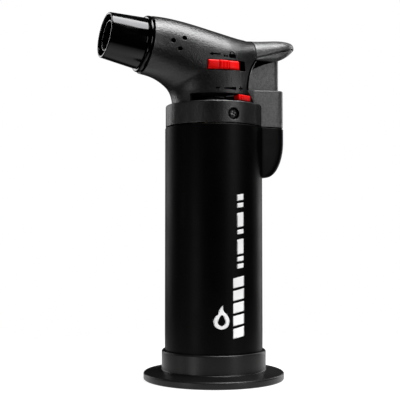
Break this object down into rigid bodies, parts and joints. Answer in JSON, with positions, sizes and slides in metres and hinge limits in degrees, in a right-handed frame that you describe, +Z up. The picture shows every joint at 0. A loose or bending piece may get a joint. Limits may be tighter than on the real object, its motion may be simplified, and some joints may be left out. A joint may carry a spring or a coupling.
{
  "type": "butane torch",
  "caption": "Hand-held butane jet torch on a round pull-off foot: cylindrical fuel body, angled head with a short flared nozzle, thumb trigger behind, lock slider and flame lever.",
  "frame": {"origin": "centre of the foot's flat underside, on the body's axis", "axes": "+Z up along the body; -X towards the nozzle, +X towards the thumb trigger; -Y is the side with the lock slider"},
  "size_m": [0.0846, 0.0574, 0.1465],
  "materials": {
    "soft_black": "soft-touch matte",
    "charcoal": "satin, fine moulded texture",
    "foot_grey": "satin",
    "red_plastic": "gloss",
    "black_chrome": "polished black chrome",
    "steel": "satin",
    "brass": "turned",
    "natural_plastic": "natural",
    "rubber": "matte",
    "ceramic": "glazed ceramic"
  },
  "bodies": {
    "stand": {"stand": "foot_grey"},
    "torch": {"body_shell": "soft_black", "fuel_tank": "natural_plastic", "tank_lid": "natural_plastic", "fill_valve_body": "brass", "fill_valve_spring": "steel", "fill_valve_seal": "rubber", "outlet_valve_body": "brass", "gas_filter": "ceramic", "valve_o_ring": "rubber", "valve_spring": "steel", "gas_lever_pin": "steel", "nozzle_guard": "black_chrome", "nozzle_ring": "black_chrome", "burner_tube": "steel", "burner_disc": "brass", "mixing_tube": "brass", "jet_holder": "brass", "electrode_insulator": "ceramic", "electrode": "steel", "gas_hose": "rubber", "ignition_lead": "rubber", "piezo_body": "natural_plastic", "piezo_spring": "steel", "rear_cover": "charcoal", "head_shell_left": "charcoal", "head_shell_right": "charcoal", "collar_screw_left": "steel", "collar_screw_right": "steel"},
    "trigger": {"trigger": "charcoal", "piezo_plunger": "natural_plastic"},
    "gas_lever": {"gas_lever": "steel"},
    "valve_stem": {"valve_stem": "brass"},
    "flame_lever": {"flame_lever": "red_plastic", "regulator_nut": "brass"},
    "lock_slider": {"lock_slider": "red_plastic"},
    "fill_valve_stem": {"fill_valve_stem": "brass"}
  },
  "joints": [
    {"name": "lift_from_stand", "type": "slide", "parent": "stand", "child": "torch", "axis": [0, 0, 1], "range_m": [0, 0.02]},
    {"name": "trigger_press", "type": "slide", "parent": "torch", "child": "trigger", "axis": [0, 0, -1], "range_m": [0, 0.0045], "stiffness_N_per_m": 1500, "springref_m": -0.002, "deforming": ["piezo_spring"]},
    {"name": "gas_lever_rock", "type": "hinge", "parent": "torch", "child": "gas_lever", "pos_m": [0.0052, 0, 0.1173], "axis": [0, 1, 0], "range_deg": [0, 10.5]},
    {"name": "valve_lift", "type": "slide", "parent": "torch", "child": "valve_stem", "axis": [0, 0, 1], "range_m": [0, 0.001], "stiffness_N_per_m": 600, "springref_m": -0.001, "deforming": ["valve_spring"]},
    {"name": "flame_adjust", "type": "hinge", "parent": "torch", "child": "flame_lever", "pos_m": [0, 0, 0.1131], "axis": [0, 0, 1], "range_deg": [-65, 0]},
    {"name": "lock_slide", "type": "slide", "parent": "torch", "child": "lock_slider", "axis": [1, 0, 0], "range_m": [0, 0.0028]},
    {"name": "fill_press", "type": "slide", "parent": "torch", "child": "fill_valve_stem", "axis": [0, 0, 1], "range_m": [0, 0.0015], "stiffness_N_per_m": 600, "springref_m": -0.001, "deforming": ["fill_valve_spring"]}
  ],
  "couplings": [
    {"joint": "gas_lever_rock", "follows": "trigger_press", "rad_per_m": 40.7},
    {"joint": "valve_lift", "follows": "trigger_press", "ratio": 0.2222}
  ]
}
